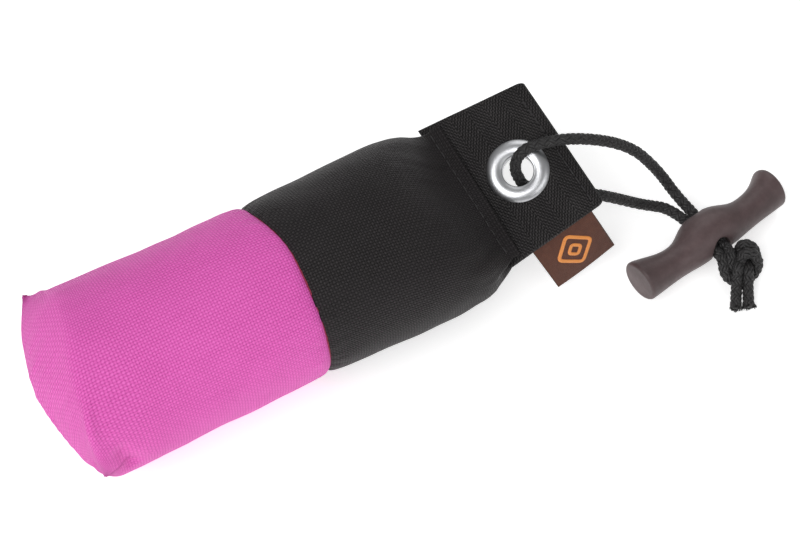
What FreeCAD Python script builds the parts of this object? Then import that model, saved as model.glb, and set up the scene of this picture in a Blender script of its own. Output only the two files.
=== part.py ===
import FreeCAD, Part
import math
import os
import Sketcher

# Training bumper: a filled cloth roll in two cloth pieces, a folded webbing tab
# with a rolled steel eyelet and a woven label, and a doubled braided cord that
# carries a toggle grip against its knot.
# Millimetres. +X runs along the body towards the tab, +Z is up, and the origin
# is the middle of the flat patch the body rests on.

V = FreeCAD.Vector
R = FreeCAD.Rotation
P = FreeCAD.Placement

os.makedirs("parts", exist_ok=True)
doc = FreeCAD.newDocument("training_bumper")

# ------------------------------------------------------------------ dimensions
sheet = doc.addObject("Spreadsheet::Sheet", "dims")
rows = []
sizes = {}


def dim(name, value):
    rows.append(name)
    sizes[name] = value
    cell = "B%d" % len(rows)
    sheet.set("A%d" % len(rows), name)
    sheet.set(cell, repr(float(value)) if not isinstance(value, int) else str(value))
    sheet.setAlias(cell, name)
    return value


cover_wall = dim("cover_wall", 1.2)
liner_wall = dim("liner_wall", 0.8)
body_centre_height = dim("body_centre_height", 25.4)
seam_station = dim("seam_station", 4.5)
webbing_width = dim("webbing_width", 40.0)
webbing_thick = dim("webbing_thick", 1.3)
tab_start = dim("tab_start", 0.9)
tab_fold_centre = dim("tab_fold_centre", 26.2)
tab_shift = dim("tab_shift", 0.6)
webbing_hole_radius = dim("webbing_hole_radius", 5.0)
eyelet_along = dim("eyelet_along", 12.05)
eyelet_across = dim("eyelet_across", 1.0)
hem_length = dim("hem_length", 6.0)
hem_width = dim("hem_width", 44.6)
hem_height = dim("hem_height", 6.8)
hem_slot_width = dim("hem_slot_width", 40.8)
hem_slot_height = dim("hem_slot_height", 3.2)
anchor_length = dim("anchor_length", 9.8)
label_width = dim("label_width", 20.2)
label_height = dim("label_height", 17.7)
label_thick = dim("label_thick", 0.7)
cord_radius = dim("cord_radius", 1.5)
strand_gap = dim("strand_gap", 1.6)
toggle_half_length = dim("toggle_half_length", 26.0)
toggle_bore_radius = dim("toggle_bore_radius", 3.5)
toggle_rim_round = dim("toggle_rim_round", 0.9)
toggle_bore_round = dim("toggle_bore_round", 0.7)
knot_along = dim("knot_along", 5.7)
knot_deep = dim("knot_deep", 5.1)
doc.recompute()

# ------------------------------------------------------------- frames of pieces
# The tab leaves the neck pitched up 19 degrees and rolled towards -Y.
tab_axis = V(0.6834984, -0.72090597, 0.11456229)
tab_turn = 26.17761746
tab_origin = V(66.08, -0.10, 25.33)
tab_rot = R(tab_axis, tab_turn)
tab_frame = P(tab_origin, tab_rot)


def on_tab(x, y, z):
    return tab_frame.multVec(V(x, y, z))


# Grip frame: along the toggle, and along its bore (both level).
grip_along = V(0.986, 0.167, 0.0).normalize()
grip_bore = V(grip_along.y, -grip_along.x, 0.0)
grip_centre = V(122.8, -31.15, 7.0)


def on_grip(bore, along, up=0.0):
    return grip_centre + grip_bore * bore + grip_along * along + V(0, 0, up)


def from_axes(x, y, z):
    m = FreeCAD.Matrix(x.x, y.x, z.x, 0, x.y, y.y, z.y, 0, x.z, y.z, z.z, 0, 0, 0, 0, 1)
    return FreeCAD.Placement(m).Rotation


# ------------------------------------------------------------------- helpers
to_x = R(V(1, 1, 1), 120)       # a flat outline in XY is stood up facing +X
wrap_up = []                    # (node name, object)


def section(tag, i, x, y, z, wide, high, turn):
    e = doc.addObject("Part::Ellipse", "%s_ring_%d" % (tag, i))
    dim("%s_wide_%d" % (tag, i), wide)
    dim("%s_high_%d" % (tag, i), high)
    e.setExpression("MajorRadius", "dims.%s_wide_%d" % (tag, i))
    e.setExpression("MinorRadius", "dims.%s_high_%d" % (tag, i))
    e.Placement = P(V(x, y, z), R(tab_axis, tab_turn * turn).multiply(to_x))
    return e


def loft(tag, stations):
    rings = [section(tag, i, *s) for i, s in enumerate(stations)]
    lo = doc.addObject("Part::Loft", tag)
    lo.Sections = rings
    lo.Solid = True
    lo.Ruled = False
    lo.Closed = False
    return lo


def cut(name, base, tool):
    c = doc.addObject("Part::Cut", name)
    c.Base = base
    c.Tool = tool
    return c


def node(obj, name):
    obj.Label = name
    wrap_up.append((name, obj))
    return obj


def inner(stations, wall, first=0.0, last=0.0):
    out = []
    for i, (x, y, z, w, h, t) in enumerate(stations):
        dx = first if i == 0 else (last if i == len(stations) - 1 else 0.0)
        out.append((x + dx, y, z, w - wall, h - wall, t))
    return out


def line(sk, a, b):
    return sk.addGeometry(Part.LineSegment(V(a[0], a[1], 0), V(b[0], b[1], 0)), False)


def arc(sk, a, m, b):
    return sk.addGeometry(Part.Arc(V(a[0], a[1], 0), V(m[0], m[1], 0), V(b[0], b[1], 0)), False)


def body(name, placement=None):
    b = doc.addObject("PartDesign::Body", name + "_body")
    if placement is not None:
        b.Placement = placement
    return b


def sketch(b, plane, name, lift=0.0):
    sk = b.newObject("Sketcher::SketchObject", name)
    sk.AttachmentSupport = [(next(o for o in b.Origin.OriginFeatures if o.Role == plane), "")]
    sk.MapMode = "FlatFace"
    if lift:
        sk.AttachmentOffset = P(V(0, 0, lift), R())
    return sk


def rectangle(sk, x0, y0, x1, y1):
    line(sk, (x0, y0), (x1, y0))
    line(sk, (x1, y0), (x1, y1))
    line(sk, (x1, y1), (x0, y1))
    line(sk, (x0, y1), (x0, y0))


def box_body(name, placement, lx, ly, lz, x0, y0, z0):
    """Block from (x0, y0, z0) in its own frame; lx, ly, lz are sheet names."""
    b = body(name, placement)
    sk = sketch(b, "XY_Plane", name + "_outline", z0)
    a = sizes[lx]
    c = sizes[ly]
    rectangle(sk, x0, y0, x0 + a, y0 + c)
    pad = b.newObject("PartDesign::Pad", name + "_pad")
    pad.Profile = sk
    pad.setExpression("Length", "dims." + lz)
    b.Tip = pad
    return b


def stitch_row(name, placement, length, count):
    """A row of thread along local X: a thin run with raised stitches on it."""
    b = body(name, placement)
    dim(name + "_run", length)
    dim(name + "_count", int(count))
    base = sketch(b, "XY_Plane", name + "_run_outline")
    rectangle(base, 0.0, -0.15, length, 0.15)
    p1 = b.newObject("PartDesign::Pad", name + "_run_pad")
    p1.Profile = base
    p1.Length = 0.15
    pitch = length / count
    st = sketch(b, "XY_Plane", name + "_stitch_outline")
    w = pitch * 0.76
    rectangle(st, pitch * 0.12, -0.35, pitch * 0.12 + w, 0.35)
    p2 = b.newObject("PartDesign::Pad", name + "_stitch_pad")
    p2.Profile = st
    p2.Length = 0.35
    doc.recompute()
    pat = b.newObject("PartDesign::LinearPattern", name + "_pattern")
    pat.Originals = [p2]
    pat.Direction = (st, ["H_Axis"])
    pat.Length = pitch * (count - 1)
    pat.setExpression("Occurrences", "dims." + name + "_count")
    b.Tip = pat
    return b


# ------------------------------------------------------------------ the covers
zc = body_centre_height
floor_block = doc.addObject("Part::Box", "floor_block")
floor_block.Length = 200
floor_block.Width = 100
floor_block.Height = 10
floor_block.Placement = P(V(-100, -50, -10), R())

front = [
    (4.5, 0, zc, 24.70, 24.65, 0.0),
    (2.8, 0, zc, 25.40, 25.30, 0.0),
    (-1.0, 0, zc, 25.95, 25.80, 0.0),
    (-10.0, 0, zc, 26.10, 25.90, 0.0),
    (-28.0, 0, zc, 26.25, 25.80, 0.1),
    (-45.0, 0, zc, 26.90, 25.45, 0.3),
    (-56.0, 0, zc - 0.3, 27.00, 24.60, 0.5),
    (-62.0, 0, zc - 0.5, 26.00, 22.40, 0.6),
    (-66.2, 0, zc - 0.5, 22.60, 18.60, 0.6),
    (-68.0, 0, zc - 0.5, 17.00, 13.00, 0.6),
]
front_outer = loft("front_outer", front)
front_inner = loft("front_inner", inner(front, cover_wall, 0.0, 1.2))
front_shell = cut("front_shell", front_outer, front_inner)
front_cover = node(cut("front_cut", front_shell, floor_block), "front_cover")

rear = [
    (4.5, 0, zc, 24.70, 24.65, 0.0),
    (6.2, 0, zc, 25.40, 25.30, 0.0),
    (10.0, 0, zc, 26.00, 25.80, 0.0),
    (20.0, 0, zc, 26.40, 25.85, 0.1),
    (33.0, 0, zc, 26.90, 25.60, 0.3),
    (44.0, 0.2, zc - 0.5, 26.60, 23.90, 0.5),
    (52.0, 0.4, zc - 1.0, 25.40, 19.40, 0.7),
    (57.0, 0.6, zc - 1.6, 24.30, 12.60, 0.9),
]
neck_end = on_tab(-hem_length, 1.0, 0.0)
rear.append((neck_end.x, neck_end.y, neck_end.z, 23.20, 5.00, 1.0))
rear_outer = loft("rear_outer", rear)
rear_inner = loft("rear_inner", inner(rear, cover_wall))
rear_shell = cut("rear_shell", rear_outer, rear_inner)
rear_cover = node(cut("rear_cut", rear_shell, floor_block), "rear_cover")

# Turned-in hem of the neck, a flat sleeve over the webbing.
hem = body("neck_hem", tab_frame)
sk = sketch(hem, "YZ_Plane", "hem_outline", -hem_length)
rectangle(sk, 1.0 - hem_width / 2, -hem_height / 2, 1.0 + hem_width / 2, hem_height / 2)
pad = hem.newObject("PartDesign::Pad", "hem_pad")
pad.Profile = sk
pad.setExpression("Length", "dims.hem_length")
doc.recompute()
vol_before = hem.Shape.Volume
sk = sketch(hem, "YZ_Plane", "hem_slot", -hem_length)
rectangle(sk, 0.6 - hem_slot_width / 2, -hem_slot_height / 2, 0.6 + hem_slot_width / 2, hem_slot_height / 2)
pk = hem.newObject("PartDesign::Pocket", "hem_pocket")
pk.Profile = sk
pk.Type = 1
pk.Midplane = True
doc.recompute()
print("hem volume", round(vol_before, 1), round(pk.Shape.Volume, 1))
assert pk.Shape.Volume < vol_before - 100
edges = []
for i, e in enumerate(pk.Shape.Edges):
    bb = e.BoundBox
    # long corners that run through the hem on its four outer edges
    if abs(bb.XLength - hem_length) < 0.01 and bb.YLength < 0.01 and bb.ZLength < 0.01 \
            and abs(abs(bb.Center.z) - hem_height / 2) < 0.01:
        edges.append("Edge%d" % (i + 1))
fl = hem.newObject("PartDesign::Fillet", "hem_round")
fl.Base = (pk, edges)
fl.Radius = 1.6
hem.Tip = fl
node(hem, "neck_hem")

# Sewn-in end of the webbing, held inside the neck.
anchor = box_body("strap_anchor", P(tab_frame), "anchor_length", "webbing_width", "webbing_thick", -11.0,
                  tab_shift - webbing_width / 2, -0.65)
node(anchor, "strap_anchor")
anchor.Placement = tab_frame

# ------------------------------------------------------------- bag and filling
bag = [
    (-60.0, 0, zc + 0.4, 13.00, 6.40, 0.6),
    (-57.0, 0, zc + 0.2, 19.00, 12.40, 0.6),
    (-50.0, 0, zc, 22.80, 19.60, 0.5),
    (-40.0, 0, zc, 24.30, 22.80, 0.3),
    (-20.0, 0, zc, 24.20, 23.85, 0.1),
    (-4.0, 0, zc, 24.00, 23.80, 0.0),
    (4.5, 0, zc, 22.95, 22.90, 0.0),
    (11.0, 0, zc, 23.85, 23.70, 0.0),
    (19.0, 0, zc, 24.10, 23.70, 0.1),
    (30.0, 0, zc, 24.40, 23.40, 0.3),
    (42.0, 0.2, zc - 0.4, 23.80, 21.40, 0.5),
    (47.5, 0.3, zc - 0.8, 20.80, 15.60, 0.6),
    (49.6, 0.4, zc - 1.0, 15.00, 9.60, 0.6),
]
bag_outer = loft("bag_outer", bag)
bag_inner = loft("bag_inner", inner(bag, liner_wall, 0.8, -0.8))
inner_bag = node(cut("bag_cut", bag_outer, bag_inner), "inner_bag")
fill = node(loft("fill_loft", inner(bag, liner_wall + 0.15, 1.0, -1.0)), "granulate_fill")

dim("closure_along", 3.6)
dim("closure_width", 26.0)
dim("closure_thick", 1.6)
fin = box_body("liner_closure", P(V(49.7, 0.4, zc - 1.0), R(tab_axis, tab_turn * 0.6)),
               "closure_along", "closure_width", "closure_thick", 0.35, -13.0, -0.8)
node(fin, "liner_closure")

# -------------------------------------------------------------------- threads
ring = doc.addObject("Part::Torus", "ring_seam_torus")
dim("ring_seam_radius", 25.08)
dim("ring_thread_radius", 0.2)
ring.setExpression("Radius1", "dims.ring_seam_radius")
ring.setExpression("Radius2", "dims.ring_thread_radius")
ring.Placement = P(V(seam_station, 0, zc), R(V(0, 1, 0), 90))
node(ring, "ring_seam_thread")

# The front end is closed by one row of stitches across its flat face.
end_turn = R(tab_axis, tab_turn * 0.6)
end_x = end_turn.multVec(V(-1, 0, 0))
end_y = end_turn.multVec(V(0, 1, 0))
end_up = end_x.cross(end_y)
end_frame = from_axes(end_y, end_x.cross(end_y), end_x)
end_mid = V(-68.0, 0, zc - 0.5)
end_row = stitch_row("end_seam_stitches", P(end_mid + end_x * 0.02 - end_y * 14.5, end_frame), 29.0, 9)
node(end_row, "end_seam_stitches")

neck_frame = from_axes(tab_rot.multVec(V(0, 1, 0)), tab_rot.multVec(V(-1, 0, 0)), tab_rot.multVec(V(0, 0, 1)))
neck_top = stitch_row("neck_stitches", P(on_tab(-2.6, -19.0, hem_height / 2 + 0.02), neck_frame), 40.0, 13)
node(neck_top, "neck_stitches")

# ------------------------------------------------------------------ the tab
web = body("tab_webbing", tab_frame)
sk = sketch(web, "XZ_Plane", "fold_outline")
t = webbing_thick
x0, xc = tab_start, tab_fold_centre
line(sk, (x0, t), (xc, t))
arc(sk, (xc, t), (xc + t, 0), (xc, -t))
line(sk, (xc, -t), (x0, -t))
line(sk, (x0, -t), (x0, t))
pad = web.newObject("PartDesign::Pad", "fold_pad")
pad.Profile = sk
pad.Midplane = True
pad.setExpression("Length", "dims.webbing_width")
doc.recompute()
vol_before = web.Shape.Volume
sk = sketch(web, "XY_Plane", "eyelet_hole")
c = sk.addGeometry(Part.Circle(V(eyelet_along, eyelet_across - tab_shift, 0), V(0, 0, 1), webbing_hole_radius), False)
sk.addConstraint(Sketcher.Constraint("Radius", c, webbing_hole_radius))
sk.setExpression("Constraints[0]", "dims.webbing_hole_radius")
pk = web.newObject("PartDesign::Pocket", "eyelet_hole_pocket")
pk.Profile = sk
pk.Type = 1
pk.Midplane = True
web.Tip = pk
doc.recompute()
print("webbing volume", round(vol_before, 1), round(pk.Shape.Volume, 1))
assert pk.Shape.Volume < vol_before - 50
web.Placement = P(on_tab(0, tab_shift, 0), tab_rot)
node(web, "tab_webbing")

eye_frame = P(on_tab(eyelet_along, eyelet_across, 0), tab_rot)
eye = body("eyelet", eye_frame)
sk = sketch(eye, "XZ_Plane", "eyelet_profile")
line(sk, (4.40, -1.90), (4.40, 1.85))
arc(sk, (4.40, 1.85), (4.53, 2.17), (4.85, 2.30))
arc(sk, (4.85, 2.30), (6.75, 2.62), (8.90, 1.52))
line(sk, (8.90, 1.52), (8.90, 1.34))
line(sk, (8.90, 1.34), (8.45, 1.34))
arc(sk, (8.45, 1.34), (6.70, 2.17), (4.85, 1.72))
line(sk, (4.85, 1.72), (4.85, -1.94))
line(sk, (4.85, -1.94), (6.15, -1.94))
line(sk, (6.15, -1.94), (6.15, -2.16))
arc(sk, (6.15, -2.16), (6.07, -2.34), (5.85, -2.42))
line(sk, (5.85, -2.42), (5.20, -2.42))
arc(sk, (5.20, -2.42), (4.63, -2.36), (4.40, -1.90))
rev = eye.newObject("PartDesign::Revolution", "eyelet_turn")
rev.Profile = sk
rev.ReferenceAxis = (sk, ["V_Axis"])
rev.Angle = 360
eye.Tip = rev
node(eye, "eyelet")

wsh = body("eyelet_washer", eye_frame)
sk = sketch(wsh, "XZ_Plane", "washer_profile")
line(sk, (5.00, -1.34), (8.60, -1.34))
line(sk, (8.60, -1.34), (8.60, -1.55))
arc(sk, (8.60, -1.55), (8.45, -1.80), (8.10, -1.90))
line(sk, (8.10, -1.90), (5.00, -1.90))
line(sk, (5.00, -1.90), (5.00, -1.34))
rev = wsh.newObject("PartDesign::Revolution", "washer_turn")
rev.Profile = sk
rev.ReferenceAxis = (sk, ["V_Axis"])
rev.Angle = 360
wsh.Tip = rev
node(wsh, "eyelet_washer")

tab_row = stitch_row("tab_end_stitches", P(on_tab(24.6, -17.9, webbing_thick + 0.02), neck_frame), 37.0, 12)
node(tab_row, "tab_end_stitches")

# ------------------------------------------------------------------ the label
lab_x = V(0.957, 0.042, 0.2875).normalize()
lab_y = V(-0.285, 0.334, 0.900)
lab_y = (lab_y - lab_x * lab_y.dot(lab_x)).normalize()
lab_z = lab_x.cross(lab_y)
lab_rot = from_axes(lab_x, lab_y, lab_z)
lab_mid = V(83.93, -20.35, 14.26)
label = box_body("label", P(lab_mid, lab_rot), "label_width", "label_height", "label_thick",
                 -label_width / 2, -9.3, -label_thick / 2)
node(label, "label")

motif = body("label_motif", P(lab_mid, lab_rot))
sk = sketch(motif, "XY_Plane", "motif_outline", label_thick / 2 + 0.02)
pts = [(-5.2, -1.6), (0.0, -5.6), (5.2, -1.6), (0.0, 2.4)]
for i in range(4):
    line(sk, pts[i], pts[(i + 1) % 4])
pad = motif.newObject("PartDesign::Pad", "motif_pad")
pad.Profile = sk
pad.Length = 0.22
motif.Tip = pad
node(motif, "label_motif")

# ------------------------------------------------------------------- the cord
# One braided cord, doubled: from the knot through the grip, up over the tab,
# down through the eyelet, back under the tab, through the grip to the knot.
route = [
    on_grip(8.6, strand_gap), on_grip(-13.5, strand_gap),
    V(118.6, -9.6, 15.0), V(109.5, -5.0, 26.5),
    on_tab(29.8, -0.3, 3.5), on_tab(19.5, 4.2, 4.2),
    on_tab(11.6, 1.0, 4.2), on_tab(11.6, 1.0, -4.4),
    on_tab(17.2, -8.2, -4.5), on_tab(26.5, -15.6, -4.1),
    V(101.8, -15.2, 19.3), V(109.8, -15.6, 11.0),
    on_grip(-12.2, -strand_gap), on_grip(8.6, -strand_gap),
]


def tube(points, radius, tag):
    """Straight runs joined by tangent arcs, swept with a round section."""
    runs = [(points[i + 1] - points[i]).Length for i in range(len(points) - 1)]
    pieces = []
    here = points[0]
    for i in range(1, len(points) - 1):
        u = (points[i] - points[i - 1]).normalize()
        w = (points[i + 1] - points[i]).normalize()
        turn = math.acos(max(-1.0, min(1.0, u.dot(w))))
        back = 0.45 * min(runs[i - 1], runs[i])
        rad = back / math.tan(turn / 2)
        a = points[i] - u * back
        b = points[i] + w * back
        c = points[i] + (w - u).normalize() * (rad / math.cos(turn / 2))
        m = c + (points[i] - c).normalize() * rad
        print("%s point %d run %.1f turn %.0f radius %.1f (%.1f diameters)" % (
            tag, i, runs[i - 1], math.degrees(turn), rad, rad / radius / 2))
        pieces.append(Part.LineSegment(here, a).toShape())
        pieces.append(Part.Arc(a, m, b).toShape())
        here = b
    pieces.append(Part.LineSegment(here, points[-1]).toShape())
    wire = Part.Wire(pieces)
    start = (points[1] - points[0]).normalize()
    ring_wire = Part.Wire([Part.makeCircle(radius, points[0], start)])
    solid = wire.makePipeShell([ring_wire], True, False)
    if solid.Volume < 0:
        solid.reverse()
    want = math.pi * radius * radius * wire.Length
    print("%s length %.1f volume %.1f wanted %.1f" % (tag, wire.Length, solid.Volume, want))
    assert abs(solid.Volume - want) < 0.03 * want
    return solid


def tube_node(points, name):
    f = doc.addObject("Part::Feature", name + "_tube")
    f.Shape = tube(points, cord_radius, name)
    return node(f, name)


tube_node(route, "throw_cord")

knot_mid = on_grip(12.35, 1.9, -1.3)
kn = doc.addObject("Part::Ellipsoid", "knot_solid")
kn.Radius1 = 5.4
kn.setExpression("Radius2", "dims.knot_along")
kn.setExpression("Radius3", "dims.knot_deep")
kn.Placement = P(knot_mid, from_axes(grip_along, grip_bore * -1, V(0, 0, 1)))
node(kn, "cord_knot")

tube_node([V(123.9, -45.9, 4.6), V(121.3, -50.0, 2.6), V(118.6, -54.1, 1.9)], "cord_tail_left")
tube_node([V(127.6, -46.2, 4.6), V(125.8, -51.2, 2.6), V(123.2, -56.2, 1.9)], "cord_tail_right")

# ------------------------------------------------------------------- the grip
# Palm side bows gently; finger side has a groove each side of the hub.
# (distance along, radius, shift towards the palm side)
grip = [
    (-26.0, 6.20, 0.20), (-23.5, 6.00, 0.35), (-19.5, 5.30, 1.00), (-15.0, 4.75, 1.55),
    (-10.5, 5.05, 1.50), (-6.0, 6.25, 0.60), (-2.2, 6.78, 0.05), (2.2, 6.78, 0.05),
    (6.0, 6.25, 0.60), (10.5, 5.05, 1.50), (15.0, 4.70, 1.55), (19.5, 5.05, 1.05),
    (22.8, 5.85, 0.15), (26.0, 5.90, 0.00),
]
rings = []
for i, (s_, r_, o_) in enumerate(grip):
    e = doc.addObject("Part::Ellipse", "grip_ring_%d" % i)
    dim("grip_radius_%d" % i, r_)
    e.setExpression("MajorRadius", "dims.grip_radius_%d" % i)
    e.setExpression("MinorRadius", "dims.grip_radius_%d" % i)
    e.Placement = P(on_grip(o_, s_), from_axes(grip_bore * -1, V(0, 0, 1), grip_along * -1))
    rings.append(e)
grip_loft = doc.addObject("Part::Loft", "grip_loft")
grip_loft.Sections = rings
grip_loft.Solid = True
grip_loft.Ruled = False
doc.recompute()
rim = doc.addObject("Part::Fillet", "grip_rims")
rim.Base = grip_loft
flat = []
for i, e in enumerate(grip_loft.Shape.Edges):
    far = [abs((q - grip_centre).dot(grip_along)) for q in e.discretize(7)]
    if min(far) > toggle_half_length - 0.01:
        flat.append((i + 1, toggle_rim_round, toggle_rim_round))
rim.Edges = flat
bore = doc.addObject("Part::Cylinder", "grip_bore_tool")
bore.setExpression("Radius", "dims.toggle_bore_radius")
bore.Height = 30
bore.Placement = P(on_grip(-15, 0), R(V(0, 0, 1), grip_bore))
bored = cut("grip_bored", rim, bore)
doc.recompute()
mouth = []
for i, e in enumerate(bored.Shape.Edges):
    out = []
    for q in e.discretize(9):
        d = q - grip_centre
        side = d.dot(grip_bore)
        out.append(abs(side) > 4.0 and abs((d - grip_bore * side).Length - toggle_bore_radius) < 0.02)
    if all(out):
        mouth.append((i + 1, toggle_bore_round, toggle_bore_round))
print("rim edges", len(flat), "bore mouth edges", len(mouth))
if mouth:
    fm = doc.addObject("Part::Fillet", "grip_mouths")
    fm.Base = bored
    fm.Edges = mouth
    doc.recompute()
    good = fm.Shape.isValid() and fm.Shape.Volume > 1000 and "Invalid" not in fm.State
    if good:
        node(fm, "toggle")
    else:
        doc.removeObject(fm.Name)
        print("bore mouths left sharp")
        node(bored, "toggle")
else:
    node(bored, "toggle")

# -------------------------------------------------------------------- export
doc.recompute()
bad = [o.Name for o in doc.Objects if "Invalid" in o.State or "Error" in o.State]
assert not bad, bad
for name, obj in wrap_up:
    shape = obj.Shape
    assert shape.isValid(), name
    assert shape.Volume > 0, name
    bb = shape.BoundBox
    print("%-18s solids %d volume %9.1f  x %.1f %.1f  y %.1f %.1f  z %.2f %.2f" % (
        name, len(shape.Solids), shape.Volume, bb.XMin, bb.XMax, bb.YMin, bb.YMax, bb.ZMin, bb.ZMax))
    shape.exportStep("parts/%s.step" % name)
print("nodes", len(wrap_up))
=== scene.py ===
import math

import bmesh
import bpy
import numpy as np
from mathutils import Matrix, Vector, noise


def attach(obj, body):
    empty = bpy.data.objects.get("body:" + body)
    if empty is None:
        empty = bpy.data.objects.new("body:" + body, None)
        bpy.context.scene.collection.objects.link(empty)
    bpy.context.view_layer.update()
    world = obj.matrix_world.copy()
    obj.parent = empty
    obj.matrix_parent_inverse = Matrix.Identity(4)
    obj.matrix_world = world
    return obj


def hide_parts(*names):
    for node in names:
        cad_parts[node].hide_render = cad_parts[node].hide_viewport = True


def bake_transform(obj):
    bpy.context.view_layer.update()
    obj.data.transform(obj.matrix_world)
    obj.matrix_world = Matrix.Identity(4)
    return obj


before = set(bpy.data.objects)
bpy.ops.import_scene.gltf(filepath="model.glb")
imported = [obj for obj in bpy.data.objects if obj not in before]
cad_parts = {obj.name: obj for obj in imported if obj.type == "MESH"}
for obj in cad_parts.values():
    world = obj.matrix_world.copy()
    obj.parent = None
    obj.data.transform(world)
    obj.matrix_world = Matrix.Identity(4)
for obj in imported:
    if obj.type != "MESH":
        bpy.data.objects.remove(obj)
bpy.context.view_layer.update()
scene = bpy.context.scene
scene.view_settings.view_transform = "Standard"
MM = 0.001

# ------------------------------------------------------------------ camera
cam_data = bpy.data.cameras.new("camera")
cam_data.sensor_width = 36.0
cam_data.lens = 94.5
cam_data.clip_start = 0.01
cam_data.clip_end = 20.0
cam = bpy.data.objects.new("camera", cam_data)
scene.collection.objects.link(cam)
CR = (0.87881711, -0.47715876, 0.0)
CU = (0.40900489, 0.75329329, 0.51503807)
CB = (-0.24575493, -0.45262427, 0.8571673)
CP = (-0.107456, -0.270058, 0.520969)
cam.matrix_world = Matrix((
    (CR[0], CU[0], CB[0], CP[0]),
    (CR[1], CU[1], CB[1], CP[1]),
    (CR[2], CU[2], CB[2], CP[2]),
    (0, 0, 0, 1)))
scene.camera = cam

# --------------------------------------------------- frames, in millimetres
TAB_O = np.array([66.08, -0.10, 25.33])
TAB_X = np.array([0.94534805, 0.0, 0.32606299])
TAB_Y = np.array([-0.10107953, 0.95073656, 0.29305789])
TAB_N = np.array([-0.31, -0.31, 0.89877695])
TAB_AXIS = np.array([0.6834984, -0.72090597, 0.11456229])
TAB_TURN = math.radians(26.17761746)
GRIP_C = np.array([122.8, -31.15, 7.0])
GRIP_A = np.array([0.985960, 0.166993, 0.0])
GRIP_B = np.array([0.166993, -0.985960, 0.0])
UP = np.array([0.0, 0.0, 1.0])


def tab(x, y, z):
    return TAB_O + TAB_X * x + TAB_Y * y + TAB_N * z


def grip(k, o, z=0.0):
    return GRIP_C + GRIP_B * k + GRIP_A * o + UP * z


KNOT_O = np.array([126.7, -43.0, 5.9])
KNOT_R = np.array([0.8788, -0.4772, 0.0])
KNOT_T = np.array([-0.4772, -0.8788, 0.0])


def knot(r, t, z):
    return KNOT_O + KNOT_R * r + KNOT_T * t + UP * z


# ------------------------------------------------------------------ helpers
def unit(v):
    v = np.asarray(v, float)
    return v / np.maximum(np.linalg.norm(v, axis=-1, keepdims=True), 1e-12)


def smooth(a, b, x):
    t = np.clip((np.asarray(x, float) - a) / (b - a), 0.0, 1.0)
    return t * t * (3 - 2 * t)


def pchip(xs, ys, x):
    """Monotone cubic through (xs, ys); ys may hold several columns."""
    xs = np.asarray(xs, float)
    ys = np.asarray(ys, float)
    one = ys.ndim == 1
    if one:
        ys = ys[:, None]
    h = np.diff(xs)[:, None]
    d = np.diff(ys, axis=0) / h
    m = np.zeros_like(ys)
    m[0], m[-1] = d[0], d[-1]
    for i in range(1, len(xs) - 1):
        ok = d[i - 1] * d[i] > 0
        w1 = 2 * h[i] + h[i - 1]
        w2 = h[i] + 2 * h[i - 1]
        with np.errstate(divide="ignore", invalid="ignore"):
            v = (w1 + w2) / (w1 / d[i - 1] + w2 / d[i])
        m[i] = np.where(ok, v, 0.0)
    x = np.clip(np.asarray(x, float), xs[0], xs[-1])
    k = np.clip(np.searchsorted(xs, x) - 1, 0, len(xs) - 2)
    hk = h[k]
    t = ((x - xs[k])[..., None]) / hk
    out = ((1 + 2 * t) * (1 - t) ** 2 * ys[k] + t * (1 - t) ** 2 * hk * m[k]
           + t * t * (3 - 2 * t) * ys[k + 1] + t * t * (t - 1) * hk * m[k + 1])
    return out[..., 0] if one else out


def bspline_basis(n, deg, ts):
    """Clamped uniform basis: rows are parameters, columns control points."""
    knots = np.concatenate([np.zeros(deg), np.linspace(0, 1, n - deg + 1), np.ones(deg)])
    ts = np.clip(ts, 0, 1 - 1e-9)
    N = np.zeros((len(ts), len(knots) - 1))
    for i in range(len(knots) - 1):
        N[:, i] = (ts >= knots[i]) & (ts < knots[i + 1])
    for p in range(1, deg + 1):
        M = np.zeros((len(ts), len(knots) - 1 - p))
        for i in range(M.shape[1]):
            a = knots[i + p] - knots[i]
            b = knots[i + p + 1] - knots[i + 1]
            if a > 0:
                M[:, i] += (ts - knots[i]) / a * N[:, i]
            if b > 0:
                M[:, i] += (knots[i + p + 1] - ts) / b * N[:, i + 1]
        N = M
    return N


def resample(P, n=None, step=None):
    """Evenly spaced points on a polyline."""
    P = np.asarray(P, float)
    s = np.concatenate([[0], np.cumsum(np.linalg.norm(np.diff(P, axis=0), axis=1))])
    if n is None:
        n = max(2, int(round(s[-1] / step)) + 1)
    t = np.linspace(0, s[-1], n)
    return np.stack([np.interp(t, s, P[:, i]) for i in range(P.shape[1])], 1), t


def noise_at(P, scale, seed=0.0, octaves=2):
    """Smooth noise in about -1..1 at each point, P in millimetres."""
    P = np.asarray(P, float)
    flat = P.reshape(-1, 3) / scale + seed
    out = np.empty(len(flat))
    for i, p in enumerate(flat):
        v = Vector(p)
        a = noise.noise(v)
        if octaves > 1:
            a += 0.5 * noise.noise(v * 2.07)
        out[i] = a
    return out.reshape(P.shape[:-1])


def mesh_piece(name, verts, faces, uvs=None, mats=(), smooth_shade=True, merge=0.0):
    """verts in millimetres; uvs is one (u, v) per face corner."""
    me = bpy.data.meshes.new(name)
    me.from_pydata([tuple(v) for v in np.asarray(verts, float) * MM], [], faces)
    if uvs is not None:
        layer = me.uv_layers.new(name="UVMap")
        layer.data.foreach_set("uv", np.asarray(uvs, np.float32).ravel())
    if merge:
        bm = bmesh.new()
        bm.from_mesh(me)
        bmesh.ops.remove_doubles(bm, verts=bm.verts, dist=merge * MM)
        bmesh.ops.dissolve_degenerate(bm, dist=1e-7, edges=bm.edges)
        bmesh.ops.recalc_face_normals(bm, faces=bm.faces)
        bm.to_mesh(me)
        bm.free()
    me.validate()
    for p in me.polygons:
        p.use_smooth = smooth_shade
    ob = bpy.data.objects.new(name, me)
    scene.collection.objects.link(ob)
    for m in mats:
        me.materials.append(m)
    return ob


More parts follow.
